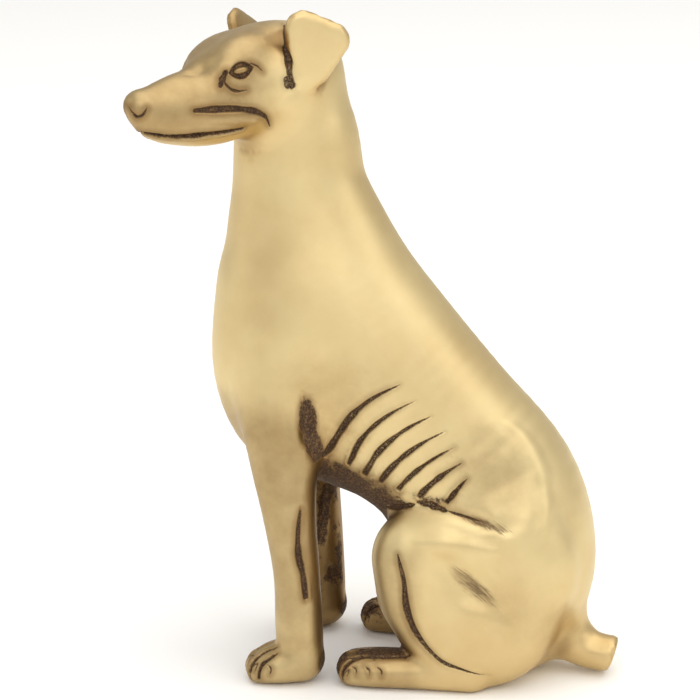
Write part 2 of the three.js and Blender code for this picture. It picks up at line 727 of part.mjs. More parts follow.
// Eyes: an almond hollow with the ball of the eye standing in it.
function almond(side, halfLength, halfHeight, halfDepth, sunk) {
  const [front, back] = [[-14.2, 5.4, 1.6], [-10.4, 6.6, 1.8]];
  const [start, end] = headPath(side, [front, back]).map((corner) => onSkin(new THREE.Vector3(...corner)));
  const { point, out } = onSkin(start.point.clone().add(end.point).divideScalar(2));
  const along = end.point.clone().sub(start.point).cross(out).cross(out).normalize();
  const up = new THREE.Vector3().crossVectors(out, along);
  const ball = new THREE.SphereGeometry(1, 14, 8);
  ball.scale(halfLength, halfHeight, halfDepth);
  const place = new THREE.Matrix4().makeBasis(along, up, out);
  ball.applyMatrix4(place.setPosition(point.addScaledVector(out, -sunk)));
  return solidOf(ball);
}

let casting = solidFrom(skin.points, skin.triangles);
for (const cut of cuts) casting = casting.subtract(cut);
for (const side of sides) {
  casting = casting.subtract(almond(side, 2.1, 1.1, 0.75, 0));
  casting = casting.add(almond(side, 1.3, 0.62, 0.6, 0.3));
}

const carved = casting.getMesh();
const slimmed = thinned({ points: carved.vertProperties, triangles: carved.triVerts }, carvedTriangles);

// The soles and the underside of the rump are ground flat on one plane.
const floorSlab = new THREE.BoxGeometry(200, 200, 20);
floorSlab.translate(0, 0, -10);
casting = solidFrom(slimmed.points, slimmed.triangles).subtract(solidOf(floorSlab));

// Bring the figure to its full height and stand the middle of its footprint on the origin.
const { min, max } = casting.boundingBox();
const share = statueHeight / (max[2] - min[2]);
const geometry = geometryOf(casting);
geometry.translate(-(min[0] + max[0]) / 2, -(min[1] + max[1]) / 2, -min[2]);
geometry.scale(share, share, share);

const brass = new THREE.MeshStandardMaterial({ color: 0xd9bf83, roughness: 0.3, metalness: 1 });
const mesh = new THREE.Mesh(geometry, brass);
mesh.name = "brass_dog";
const group = new THREE.Group();
group.add(mesh);

export default group;
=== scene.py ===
"""A seated hound cast in brass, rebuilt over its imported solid, with the photograph's light and camera."""
import math

import bpy
import numpy as np
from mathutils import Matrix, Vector


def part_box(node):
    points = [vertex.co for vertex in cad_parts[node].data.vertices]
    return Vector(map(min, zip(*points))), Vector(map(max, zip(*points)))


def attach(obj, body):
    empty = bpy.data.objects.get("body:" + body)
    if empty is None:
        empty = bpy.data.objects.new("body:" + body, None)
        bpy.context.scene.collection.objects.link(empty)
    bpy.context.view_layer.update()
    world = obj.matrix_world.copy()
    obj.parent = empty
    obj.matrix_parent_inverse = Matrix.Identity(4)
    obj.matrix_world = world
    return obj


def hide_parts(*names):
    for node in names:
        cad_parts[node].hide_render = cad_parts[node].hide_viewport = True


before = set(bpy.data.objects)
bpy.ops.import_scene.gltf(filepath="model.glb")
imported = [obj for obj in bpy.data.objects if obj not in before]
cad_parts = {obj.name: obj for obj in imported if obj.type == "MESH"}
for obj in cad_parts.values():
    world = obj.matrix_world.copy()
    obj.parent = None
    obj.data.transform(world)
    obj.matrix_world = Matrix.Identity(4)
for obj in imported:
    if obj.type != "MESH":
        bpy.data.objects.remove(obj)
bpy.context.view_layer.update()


# Body of the hound.
# The real figure is one hollow brass casting. Its trunk, neck and breast are modelled in wax as full masses
# that run into each other, so each mass is a distance field here, and the fields are blended.
# Lengths are hundredths of the figure's height. x runs from chest to tail, y to the dog's right, z up.
SIDES = (-1, 1)
FLESH_BLEND = 4.0
FAR_REACH = 6.0


def smooth_path(stations, steps=6):
    """A Catmull-Rom curve through the stations: every column is interpolated, sizes as well as places."""
    known = np.array(stations, float)
    last = len(known) - 1
    start = np.repeat(np.arange(last), steps)
    t = np.tile(np.arange(steps) / steps, last)[:, None]
    before = known[np.maximum(start - 1, 0)]
    here = known[start]
    after = known[start + 1]
    beyond = known[np.minimum(start + 2, last)]
    bend = 2 * before - 5 * here + 4 * after - beyond + t * (3 * (here - after) + beyond - before)
    return np.vstack([here + 0.5 * t * (after - before + t * bend), known[last]])


def oval_distance(u, v, a, b):
    """Distance from an oval of half sizes a and b: how far the scaled point is past 1, over its slope."""
    scaled = np.sqrt((u / a) ** 2 + (v / b) ** 2)
    slope = np.sqrt((u / a ** 2) ** 2 + (v / b ** 2) ** 2)
    return np.where(slope < 1e-9, -np.minimum(a, b), scaled * (scaled - 1) / np.maximum(slope, 1e-9))


def tapered(stations):
    """A mass along a path of x, y, z, radius and breadth: the least distance to its oval sections."""
    path = smooth_path(stations)
    reach = path[:, 3:5].max(axis=1, keepdims=True)
    least = (path[:, :3] - reach).min(axis=0)
    most = (path[:, :3] + reach).max(axis=0)

    def distance(points):
        result = np.linalg.norm(np.maximum(np.maximum(least - points, points - most), 0), axis=1)
        near = np.flatnonzero(result <= FAR_REACH)
        nearest = np.full(len(near), np.inf)
        for a, b in zip(path[:-1], path[1:]):
            off = points[near] - a[:3]
            way = b[:3] - a[:3]
            t = np.clip(off @ way / (way @ way), 0, 1)
            off = off - t[:, None] * way
            size = a[3:] + t[:, None] * (b[3:] - a[3:])
            nearest = np.minimum(nearest, oval_distance(np.hypot(off[:, 0], off[:, 2]), off[:, 1], *size.T))
        result[near] = nearest
        return result

    return distance


def ellipsoid(centre, radii, lift=0.0):
    """Distance to an ellipsoid turned about y by lift degrees, worked out as for the oval."""
    cos, sin = math.cos(math.radians(lift)), math.sin(math.radians(lift))
    turn = np.array([[cos, 0, -sin], [0, 1, 0], [sin, 0, cos]])
    size = np.array(radii, float)

    def distance(points):
        local = (points - np.array(centre, float)) @ turn.T
        scaled = np.linalg.norm(local / size, axis=1)
        slope = np.linalg.norm(local / size ** 2, axis=1)
        return np.where(slope < 1e-9, -size.min(), scaled * (scaled - 1) / np.maximum(slope, 1e-9))

    return distance


def smooth_union(a, b, softness):
    """The lesser distance, lowered by up to a quarter of the softness where the two are alike."""
    overlap = np.maximum(softness - np.abs(a - b), 0) / softness
    return np.minimum(a, b) - overlap ** 2 * softness / 4


def smooth_cut(a, cutter, softness):
    """What is left of a once the cutter is taken away, with the same soft edge."""
    return -smooth_union(-a, cutter, softness)


trunk = tapered([
    [18.2, 0, 12.0, 13.8, 12.0],
    [18.8, 0, 18.0, 14.8, 13.0],
    [16.6, 0, 26.8, 14.6, 12.0],
    [9.0, 0, 37.0, 13.7, 11.2],
    [-0.1, 0, 45.6, 15.2, 11.6],
    [-6.5, 0, 54.5, 14.8, 11.0],
    [-9.0, 0, 63.5, 12.3, 9.2],
    [-10.4, 0, 72.0, 9.9, 7.9],
    [-11.0, 0, 80.5, 8.9, 7.3],
    [-12.4, 0, 87.0, 7.0, 6.6],
])
breast = tapered([
    [-11.9, 0, 56.0, 10.1, 8.5],
    [-13.5, 0, 47.0, 10.1, 9.5],
    [-11.6, 0, 39.0, 9.2, 9.0],
    [-6.0, 0, 35.4, 7.3, 8.0],
    [1.5, 0, 33.0, 6.7, 8.5],
])


# Legs and feet.
# Straight forelegs, folded hind legs and flat hind feet, cast in one with the body and blended less
# softly, so that knees, hocks and paws keep their own shape. The tail is docked to a flat-ended stump.
LIMB_BLEND = 2.4
PAW_BLEND = 0.9
FORE_STANCE = 11.0
HIND_STANCE = 10.4


def foreleg(side):
    """From the shoulder down to the pastern."""
    y = side * FORE_STANCE
    return tapered([
        [-9.5, side * (FORE_STANCE - 5.0), 50, 8.5, 5.2],
        [-11.3, side * (FORE_STANCE - 3.2), 42, 7.0, 4.8],
        [-11.4, side * (FORE_STANCE - 1.4), 34, 5.1, 4.4],
        [-10.5, y, 26, 3.9, 4.0],
        [-9.5, y, 17, 3.4, 3.6],
        [-9.2, y, 9, 3.5, 3.4],
        [-9.0, y, 4, 3.4, 3.4],
    ])


def forepaw(side):
    """The right forepaw is set back a little."""
    y = side * FORE_STANCE
    back = 1.6 if side > 0 else 0.0
    return tapered([
        [-8.8, y, 3.4, 3.2, 3.6],
        [-12.0 + back, y, 2.8, 3.2, 4.0],
        [-14.6 + back, y, 2.0, 2.6, 3.6],
    ])


def hind_leg(side):
    """Thigh, femur, shin and calf."""
    return [
        ellipsoid([16.5, side * (HIND_STANCE - 2.4), 16.5], [14.6, 6.0, 11.0], -16),
        tapered([
            [20.0, side * (HIND_STANCE - 3.4), 24.0, 8.0, 5.0],
            [12.0, side * (HIND_STANCE - 1.8), 22.0, 6.4, 5.0],
            [7.9, side * (HIND_STANCE - 1.0), 20.9, 5.9, 4.2],
        ]),
        tapered([
            [7.0, side * (HIND_STANCE - 1.0), 19.0, 5.0, 4.2],
            [7.6, side * (HIND_STANCE - 0.4), 13.0, 4.4, 3.8],
            [10.0, side * HIND_STANCE, 8.0, 3.6, 3.2],
            [12.5, side * HIND_STANCE, 4.0, 3.2, 3.2],
        ]),
        ellipsoid([17.0, side * (HIND_STANCE - 1.4), 9.4], [11.0, 5.4, 9.6], -8),
    ]


def hind_foot(side):
    """From the hock, flat on the ground, to the toes. The right one is set back as the forepaw is."""
    y = side * HIND_STANCE
    back = 0.6 if side > 0 else 0.0
    return tapered([
        [16.0, y, 3.0, 3.6, 3.6],
        [8.0, y, 2.6, 3.0, 3.6],
        [2.0 + back, y, 2.4, 2.9, 3.8],
        [-1.0 + back, y, 2.2, 2.6, 3.5],
    ])


TAIL_CUT = (37.3, 0.3)
tail = tapered([
    [26.0, -0.5, 9.0, 5.0, 4.5],
    [30.5, -1.0, 4.9, 3.5, 3.4],
    [34.0, -1.6, 3.3, 2.8, 2.9],
    [40.0, -2.6, 3.2, 2.6, 2.8],
])
limbs = [foreleg(side) for side in SIDES] + [part for side in SIDES for part in hind_leg(side)]
feet = [part for side in SIDES for part in (forepaw(side), hind_foot(side))]


# Head.
# A long hound's skull with a brow on each side and a small nose pad, turned to the dog's left on the neck.
# It has its own frame: forward is -u, the dog's right is v and up is w.
SKULL_CENTRE = np.array([-11.6, 0.2, 90.2])
HEAD_TURN, HEAD_DIP, HEAD_TILT = 45.0, 4.0, 9.0
BROW_BLEND = 2.0
EAR_BLEND = 0.6


def turn_about(axis, degrees):
    """The 3 by 3 matrix of a right-handed turn about x, y or z, counted from 0."""
    cos, sin = math.cos(math.radians(degrees)), math.sin(math.radians(degrees))
    first, second = (axis + 1) % 3, (axis + 2) % 3
    matrix = np.eye(3)
    matrix[first, first] = matrix[second, second] = cos
    matrix[first, second] = -sin
    matrix[second, first] = sin
    return matrix


head_turn = turn_about(2, HEAD_TURN) @ turn_about(1, -HEAD_DIP) @ turn_about(0, -HEAD_TILT)


def to_head(points):
    """Points of the body frame in the head's own frame."""
    return (points - SKULL_CENTRE) @ head_turn


def from_head(points):
    """Points of the head's frame in the body frame."""
    return np.asarray(points, float) @ head_turn.T + SKULL_CENTRE


skull = tapered([
    [1.0, 0, -0.3, 6.2, 6.2],
    [-3.5, 0, -0.2, 7.2, 7.0],
    [-8.0, 0, -0.5, 7.2, 6.8],
    [-12.5, 0, -1.9, 6.6, 5.7],
    [-16.0, 0, -2.7, 5.7, 4.7],
    [-19.2, 0, -2.6, 5.1, 4.0],
    [-22.2, 0, -2.4, 4.3, 3.4],
    [-24.2, 0, -2.0, 3.3, 2.8],
])
brows = [ellipsoid([-11, side * 3.4, 3.0], [4.6, 2.8, 2.6], -22) for side in SIDES]
nose_pad = ellipsoid([-26.3, 0, -0.5], [1.5, 1.8, 1.5])


# Ears.
# Thick folded flaps, rounded triangles that point back, cast in one with the skull at their front edge.
# The right one stands a little higher.
EAR_CENTRES = {-1: (-0.9, 8.7, 2.5), 1: (-0.7, 8.8, 3.2)}
EAR_SPLAY, EAR_LEAN = 30.0, 8.0
EAR_THICKNESS, EAR_ROUND, EAR_DOME = 1.0, 2.7, 0.009
EAR_CORNERS = ((-1.7, 3.2), (2.0, 0.9), (-1.8, -3.3))


def ear(side):
    """A rounded triangle's distance in the flap's plane, cut to its thickness, which thins to the rim."""
    flap = turn_about(0, -EAR_LEAN).T @ turn_about(2, -EAR_SPLAY)
    centre = np.array(EAR_CENTRES[side])

    def distance(head_points):
        off = head_points * (1, side, 1) - centre
        result = np.full(len(off), FAR_REACH)
        near = np.flatnonzero((off ** 2).sum(axis=1) <= 150)
        back, out, up = flap @ off[near].T
        squared = np.full(len(near), np.inf)
        inside = np.ones(len(near), bool)
        for (pa, pb), (qa, qb) in zip(EAR_CORNERS, EAR_CORNERS[1:] + EAR_CORNERS[:1]):
            ea, eb = qa - pa, qb - pb
            t = np.clip(((back - pa) * ea + (up - pb) * eb) / (ea * ea + eb * eb), 0, 1)
            squared = np.minimum(squared, (back - pa - ea * t) ** 2 + (up - pb - eb * t) ** 2)
            inside &= ea * (up - pb) - eb * (back - pa) <= 0
        outline = np.where(inside, -1, 1) * np.sqrt(squared) - EAR_ROUND
        thickness = EAR_THICKNESS * np.clip(1 - EAR_DOME * (back ** 2 + up ** 2), 0.75, 1)
        result[near] = smooth_cut(outline, thickness - np.abs(out), 1.2)
        return result

    return distance


ears = [ear(side) for side in SIDES]


# Skin of the casting.
# The field's zero surface is meshed on a grid, eased so that its faces are even, and settled on the field.
# The soles and the rump are ground flat, as on the solid.
GRID_STEP = 0.72
GROUND_EDGE = 0.7


def form(points):
    """All masses blended, flesh softly, limbs less, paws and ears nearly sharp, and cut by the ground."""
    result = smooth_union(trunk(points), breast(points), FLESH_BLEND)
    for limb in limbs:
        result = smooth_union(result, limb(points), LIMB_BLEND)
    for foot in feet:
        result = smooth_union(result, foot(points), PAW_BLEND)
    docked = smooth_cut(tail(points), TAIL_CUT[0] - points[:, 0] + TAIL_CUT[1] * (points[:, 2] - 5), 0.8)
    result = smooth_union(result, docked, LIMB_BLEND)
    local = to_head(points)
    result = smooth_union(result, skull(local), FLESH_BLEND)
    for part in brows + [nose_pad]:
        result = smooth_union(result, part(local), BROW_BLEND)
    for flap in ears:
        result = smooth_union(result, flap(local), EAR_BLEND)
    return smooth_cut(result, points[:, 2], GROUND_EDGE)


def in_lots(function, points, lot=200000):
    """The function's values, worked out lot by lot to save memory."""
    return np.concatenate([function(points[i:i + lot]) for i in range(0, len(points), lot)])


def slope_at(points, values, reach=0.02):
    """The field's gradient, by a small step along each axis."""
    return np.stack([in_lots(form, points + reach * axis) - values for axis in np.eye(3)], axis=1) / reach


def settle(points, rounds=1):
    """Moves points onto the skin: each step is the field's value over its slope, along the slope."""
    for _ in range(rounds):
        values = in_lots(form, points)
        slope = slope_at(points, values)
        points = points - slope * (values / (slope ** 2).sum(axis=1))[:, None]
    return points


def unpinched(values):
    """Where the corners of a grid square are by turns inside and outside, the skin would touch itself. The
    corner that is nearest to the skin goes to the other side of it."""
    for axis in (0, 1, 2, 0, 1, 2):
        plane = np.moveaxis(values, axis, 0)
        inside = plane < 0
        a, b, c, d = inside[:, :-1, :-1], inside[:, 1:, :-1], inside[:, 1:, 1:], inside[:, :-1, 1:]
        pinched = np.argwhere((a == c) & (b == d) & (a != b))
        ring = pinched[:, None] + [[0, 0, 0], [0, 1, 0], [0, 1, 1], [0, 0, 1]]
        nearest = np.abs(plane[tuple(np.moveaxis(ring, -1, 0))]).argmin(axis=1)
        corner = ring[np.arange(len(ring)), nearest]
        plane[tuple(corner.T)] *= -0.1
    return values


def skin_net(values, low, step):
    """Surface nets: a vertex at the mean crossing of each cell that the skin passes through, and a quad
    round each grid edge that it crosses, cut into two triangles along the shorter diagonal."""
    cells = np.array(values.shape) - 1
    places, weights, quads = [], [], []
    for axis, unit in enumerate(np.eye(3, dtype=int)):
        ends = values[tuple(slice(k, None) for k in unit)]
        starts = values[tuple(slice(None, -k or None) for k in unit)]
        edge = np.argwhere((starts < 0) != (ends < 0))
        a, b = starts[tuple(edge.T)], ends[tuple(edge.T)]
        crossing = edge + unit * (a / (a - b))[:, None]
        ring = []
        for du, dv in ((0, 0), (1, 0), (1, 1), (0, 1)):
            cell = edge.copy()
            cell[:, (axis + 1) % 3] -= du
            cell[:, (axis + 2) % 3] -= dv
            ring.append(np.ravel_multi_index(cell.T, cells))
            places.append(ring[-1])
            weights.append(crossing)
        quad = np.stack(ring, axis=1)
        quads.append(np.where((a < 0)[:, None], quad, quad[:, ::-1]))
    used, number = np.unique(np.concatenate(places), return_inverse=True)
    crossings = np.concatenate(weights)
    count = np.bincount(number)
    total = np.stack([np.bincount(number, crossings[:, k]) for k in range(3)], axis=1)
    points = low + step * total / count[:, None]
    quad = np.searchsorted(used, np.concatenate(quads))
    across = [np.linalg.norm(points[quad[:, k]] - points[quad[:, k + 2]], axis=1) for k in (0, 1)]
    short = (across[0] <= across[1])[:, None]
    first = np.where(short, quad[:, [0, 1, 2]], quad[:, [0, 1, 3]])
    second = np.where(short, quad[:, [0, 2, 3]], quad[:, [1, 2, 3]])
    return points, np.concatenate([first, second])


def edges_of(faces):
    """Each edge once, and which edge each side of each face is."""
    sides = np.sort(np.concatenate([faces[:, [0, 1]], faces[:, [1, 2]], faces[:, [2, 0]]]), axis=1)
    edges, which = np.unique(sides, axis=0, return_inverse=True)
    return edges, which.reshape(3, -1).T


def eased(points, faces, share=0.5):
    """Every point goes part of the way to the mean of its neighbours."""
    edges, _ = edges_of(faces)
    both = np.concatenate([edges, edges[:, ::-1]])
    count = np.bincount(both[:, 0], minlength=len(points))
    total = np.stack([np.bincount(both[:, 0], points[both[:, 1], k], len(points)) for k in range(3)], axis=1)
    return points + share * (total / count[:, None] - points)


# The grid's two corners, a few shares outside the hound.
grid_low = np.array([-35.7, -23.7, -5.7])
grid_high = np.array([40.5, 19.0, 103.0])
grid_count = np.ceil((grid_high - grid_low) / GRID_STEP).astype(int) + 1
grid_axes = [low + GRID_STEP * np.arange(count) for low, count in zip(grid_low, grid_count)]
grid_points = np.stack(np.meshgrid(*grid_axes, indexing="ij"), axis=-1).reshape(-1, 3)
grid_values = unpinched(in_lots(form, grid_points).reshape(grid_count))
skin, faces = skin_net(grid_values, grid_low, GRID_STEP)
for _ in range(2):
    skin = settle(eased(skin, faces))


# Carving.
# The wax was cut with gouges before casting, and the cuts were left rough: ribs, mouth, eyes, toes and the
# lines of the legs. Each cut follows a path on the skin, with a width and a depth at every station.
RIB_COUNT = 7
LIP_GAP, LIP_WIDTH = 0.25, 0.2
grooves = []
scoops = []


def swept(stations, start, end, fullest):
    """A path, and its size along the way: a quarter sine up from start to full, and one down to end, both
    times a slow wave, because the cuts were made by hand."""
    path = smooth_path(stations, 4)
    along = np.linspace(0, 1, len(path))
    hand = 1 + 0.13 * np.sin(15 * along + 7 * path[0, 2]) + 0.07 * np.sin(31 * along + 3 * path[0, 0])
    rising = start + (1 - start) * np.sin(np.pi / 2 * np.clip(along / fullest, 0, 1))
    falling = end + (1 - end) * np.sin(np.pi / 2 * np.clip((1 - along) / (1 - fullest), 0, 1))
    return path, np.maximum(np.minimum(rising, falling) * hand, 0.02)


def groove(stations, half_width, depth, start=0.0, end=0.0, fullest=0.5, lip=0.0):
    """A sharp cut, which holds patina."""
    path, size = swept(stations, start, end, fullest)
    grooves.append((path, half_width * size, depth * size ** 0.7, lip * size))


def scoop(stations, half_width, depth, start=0.3, end=0.3, fullest=0.5):
    """A shallow rubbed hollow, or a swelling where the depth is negative."""
    path, size = swept(stations, start, end, fullest)
    scoops.append((path, half_width * size, depth * size))


def on_body(side, stations):
    """Stations of the left side, or the same ones mirrored to the right."""
    return [[x, side * y, z] for x, y, z in stations]


def on_head(side, stations):
    """The same for stations in the head's frame."""
    return from_head([[u, side * v, w] for u, v, w in stations])


def rib(side, index):
    """One of seven cuts: they fan out from top left to bottom right, and straighten towards the loin.
    Each is a parabola between its two ends."""
    t = index / (RIB_COUNT - 1)
    swing = math.sin(math.pi * t)
    top = np.array([5.8 + 9.7 * t + 1.5 * swing, 46.6 - 13.7 * t])
    foot = np.array([-4.6 + 13.8 * t + 3.6 * t ** 5, 34.5 - 5.2 * t - 1.1 * swing])
    along = np.linspace(0, 1, 5)[:, None]
    bow = 0.135 - 0.11 * t
    curve = top + along * (foot - top) + 4 * along * (1 - along) * bow * (foot - top)[::-1] * (1, -1)
    width = 0.44 - 0.06 * t + 0.06 * math.sin(4 * index + 1)
    groove([[x, side * 11, z] for x, z in curve], width, 0.5, 0.1, 0.8, 0.72, 0.14)


def toes(side, stance, tip, height):
    """Three cuts over the front of a foot, and a short arc behind each nail."""
    for step in (-1, 0, 1):
        back = 0.7 * step * step
        groove(on_body(side, [
            [tip + 4.8 + back, stance + 1.8 * step, height + 0.4],
            [tip + 2.6 + back, stance + 1.9 * step, 0.95 * height],
            [tip + 1.1 + back, stance + 2.3 * step, 0.65 * height],
            [tip + 0.5 + back, stance + 2.6 * step, 0.8],
        ]), 0.34, 0.6, 0.15, 0.7, 0.6, 0.1)
    for step in (-1.5, -0.5, 0.5, 1.5):
        y = stance + 2.1 * step
        back = 0.5 + 0.3 * step * step
        groove(on_body(side, [
            [tip + back + 0.5, y - 0.8, 0.42 * height],
            [tip + back + 1.0, y, 0.68 * height],
            [tip + back + 0.5, y + 0.8, 0.42 * height],
        ]), 0.14, 0.2, 0.2, 0.2)


for side in SIDES:
    for index in range(RIB_COUNT):
        rib(side, index)
    tip = -15.6 if side > 0 else -17.2
    toes(side, FORE_STANCE, tip, 5.4)
    toes(side, HIND_STANCE, -3.6, 4.6)
    # The cut before the outermost toe of the forepaw, and the nails that are seen from the side.
    groove(on_body(side, [
        [tip + 5.2, 13.7, 5.2], [tip + 3.9, 14.2, 4.4], [tip + 2.9, 14.4, 3.5], [tip + 2.5, 14.5, 1.3],
    ]), 0.34, 0.5, 0.3, 0.6, 0.5, 0.08)
    for nail in (
        [[tip + 1.0, 13.4, 3.2], [tip + 1.5, 13.9, 2.7], [tip + 1.4, 13.8, 1.9]],
        [[tip + 3.6, 14.6, 3.9], [tip + 4.4, 14.9, 3.2], [tip + 4.2, 14.8, 2.2]],
    ):
        groove(on_body(side, nail), 0.16, 0.22)
    for back in (0.8, 2.8, 4.6):
        groove(on_body(side, [
            [-2.0 + back, 13.5, 3.9], [-1.2 + back, 13.9, 3.5], [-1.1 + back, 13.9, 2.6],
        ]), 0.15, 0.2)
    # The edge of the hind foot's top, where it goes under the shin.
    groove(on_body(side, [
        [-2.6, 12.0, 4.2], [0.5, 12.3, 4.8], [4.0, 12.3, 5.1], [7.5, 12.2, 5.4],
    ]), 0.3, 0.25, 0.4, 0.6)
    # Where the belly meets the thigh: a broken line of short cuts.
    groove(on_body(side, [[3.2, 7.6, 26.4], [6.0, 9.5, 27.6], [7.8, 10.4, 28.3]]), 0.42, 0.45, 0.5, 0.1)
    groove(on_body(side, [[8.2, 10.7, 28.7], [10.2, 11.6, 28.7], [12.4, 12.2, 28.2]]), 0.55, 0.5, 0.5, 0.4)
    groove(on_body(side, [[12.6, 12.2, 28.2], [15.4, 12.6, 27.6], [18.0, 12.8, 26.9]]), 0.24, 0.25, 0.5, 0.0)
    scoop(on_body(side, [
        [6.0, 9.5, 27.6], [12.0, 12.0, 28.2], [18.0, 12.8, 27.0], [22.0, 12.8, 25.4],
    ]), 1.6, 0.4)
    # The hollow behind the elbow runs down into the belly and along the back of the foreleg.
    scoop(on_body(side, [
        [-8.4, 12.0, 45.6], [-7.5, 12.0, 42.0], [-7.3, 12.2, 38.6], [-6.0, 11.6, 35.0],
    ]), 1.8, 1.2)
    scoop(on_body(side, [[-9.8, 12.6, 42.0], [-9.3, 12.8, 38.5], [-9.0, 13.2, 34.0]]), 1.1, -0.3)
    # Hollows on the inner face of the foreleg.
    scoop(on_body(side, [[-7.6, 7.4, 25.5], [-8.3, 7.4, 20.0], [-9.2, 7.4, 13.7]]), 1.3, 0.8)
    scoop(on_body(side, [[-7.6, 7.5, 10.6], [-6.6, 7.6, 9.6], [-6.0, 7.8, 8.2]]), 1.1, 0.5)
    # The sinew down the outside of the foreleg.
    groove(on_body(side, [
        [-8.2, 14.1, 27.8], [-8.6, 14.4, 24.6], [-8.5, 14.5, 21.0], [-7.9, 14.2, 18.0], [-7.6, 14.0, 14.4],
    ]), 0.54, 0.42, 0.3, 0.7, 0.5, 0.06)
    scoop(on_body(side, [[-7.8, 14, 29.5], [-8.3, 14.4, 22.0], [-7.4, 14.0, 12.5]]), 1.3, 0.35)
    # The shin, where the lower leg folds under the thigh.
    groove(on_body(side, [
        [5.7, 13.9, 21.8], [6.7, 14.0, 18.0], [7.1, 13.9, 13.6], [8.6, 13.9, 9.6], [12.0, 14.0, 5.8],
        [15.5, 13.8, 4.3], [19.5, 13.4, 3.2],
    ]), 0.5, 0.5, 0.2, 0.0, 0.3, 0.06)
    # The long hollow of the thigh, and the scoop in front of the hip.
    scoop(on_body(side, [
        [11.0, 13.8, 21.4], [14.3, 14.1, 18.9], [18.0, 14.3, 16.2], [22.5, 13.9, 12.6],
    ]), 3.6, 0.8)
    scoop(on_body(side, [
        [16.5, 9.0, 38.6], [18.8, 9.0, 36.6], [20.6, 9.6, 33.6], [21.8, 10.6, 30.6], [22.2, 11.6, 27.8],
        [21.2, 12.4, 26.2],
    ]), 4.3, 0.42)
    scoop(on_body(side, [
        [20.4, 7.5, 40.6], [23.2, 6.9, 38.9], [25.2, 7.6, 35.2], [26.5, 8.6, 31.0], [26.9, 10.0, 27.3],
        [25.8, 11.5, 24.4],
    ]), 2.2, -0.3)
    scoop(on_body(side, [[8.5, 13.2, 23.6], [14.0, 14.0, 23.6], [20.5, 13.8, 22.6]]), 2.4, -0.4)
    # Mouth, with the fold of the lip above it, and the lip that swells below the fold.
    groove(on_head(side, [
        [-26.6, 0.1, -4.3], [-25.5, 1.2, -4.9], [-23.7, 2.0, -5.6], [-20.8, 2.6, -6.2], [-17.2, 3.4, -6.5],
        [-12.4, 4.0, -6.8],
    ]), 0.5, 0.8, 0.5, 0.65, 0.7, 0.12)
    groove(on_head(side, [
        [-19.6, 4.2, -2.7], [-16.6, 4.8, -3.1], [-13.7, 5.4, -3.6], [-11.0, 5.4, -4.4], [-8.8, 4.9, -5.8],
        [-7.8, 4.0, -7.5],
    ]), 0.5, 0.5, 0.75, 0.2, 0.35, 0.1)
    scoop(on_head(side, [[-18.0, 4.0, -4.3], [-13.5, 5.0, -5.2], [-9.8, 4.7, -6.6]]), 1.3, -0.35)
    scoop(on_head(side, [[-7.5, 5.0, -4.0], [-4.5, 6.3, -2.6], [-1.0, 7.0, -2.0]]), 1.5, 0.3)
    # The crease between muzzle and brow, and the lines round the eye.
    scoop(on_head(side, [
        [-19.0, 1.2, 2.2], [-17.3, 2.3, 2.2], [-15.9, 3.0, 2.8], [-14.4, 4.2, 3.6],
    ]), 1.3, 0.35)
    groove(on_head(side, [[-10.9, 6.5, 2.3], [-10.0, 6.65, 1.8], [-9.2, 6.7, 0.8]]), 0.14, 0.2, 0.8)
    groove(on_head(side, [[-15.5, 4.9, -0.2], [-15.1, 5.1, 0.8], [-14.5, 5.3, 1.7]]), 0.45, 0.4, 0.4, 0.8)
    groove(on_head(side, [
        [-15.0, 5.2, 0.6], [-14.4, 5.5, -0.5], [-13.4, 5.8, -1.15], [-12.0, 6.1, -1.25],
    ]), 0.23, 0.3, 0.4, 0.3)
    # Lower edge of the nose, and the fold before the ear.
    groove(on_head(side, [
        [-26.2, 2.5, -1.0], [-26.8, 2.1, -1.9], [-27.4, 1.4, -2.1], [-27.8, 1.0, -1.4], [-28.0, 0.6, -0.5],
    ]), 0.26, 0.35, 0.2, 0.2)
    groove(on_head(side, [
        [-1.9, 3.0, 6.4], [-3.3, 4.9, 5.1], [-4.5, 6.4, 3.3], [-5.0, 7.0, 1.3], [-5.2, 7.2, -0.7],
        [-4.9, 7.1, -2.1],
    ]), 0.5, 0.6, 0.4, 0.85, 0.8)
    groove(on_head(side, [[-5.8, 7.0, -0.6], [-5.8, 7.0, -1.4], [-5.6, 7.0, -2.1]]), 0.55, 0.4, 0.4, 0.6)


# Every path is settled on the skin, all of them in one go.
paths = [path for path, *sizes in grooves + scoops]
settled = np.split(settle(np.concatenate(paths), 4), np.cumsum([len(path) for path in paths])[:-1])
grooves = [(path, *sizes) for path, (_, *sizes) in zip(settled, grooves)]
scoops = [(path, *sizes) for path, (_, *sizes) in zip(settled[len(grooves):], scoops)]


def across_path(points, path, half_width, depth):
    """Where each point falls on a path: its distance, and the path's half width and depth there. The part
    of the path is taken whose edge the point is deepest inside."""
    best = np.full(len(points), np.inf)
    width = np.ones(len(points))
    deep = np.zeros(len(points))
    for k in range(len(path) - 1):
        way = path[k + 1] - path[k]
        off = points - path[k]
        t = np.clip(off @ way / (way @ way), 0, 1)
        gap = np.linalg.norm(off - t[:, None] * way, axis=1)
        here = half_width[k] + t * (half_width[k + 1] - half_width[k])
        closer = gap - here < best - width
        best = np.where(closer, gap, best)
        width = np.where(closer, here, width)
        deep = np.where(closer, depth[k] + t * (depth[k + 1] - depth[k]), deep)
    return best, width, deep


def close_to(points, path, margin):
    """The numbers of the points in a path's box, widened by the margin."""
    low, high = path.min(axis=0) - margin, path.max(axis=0) + margin
    return np.flatnonzero(((points > low) & (points < high)).all(axis=1))


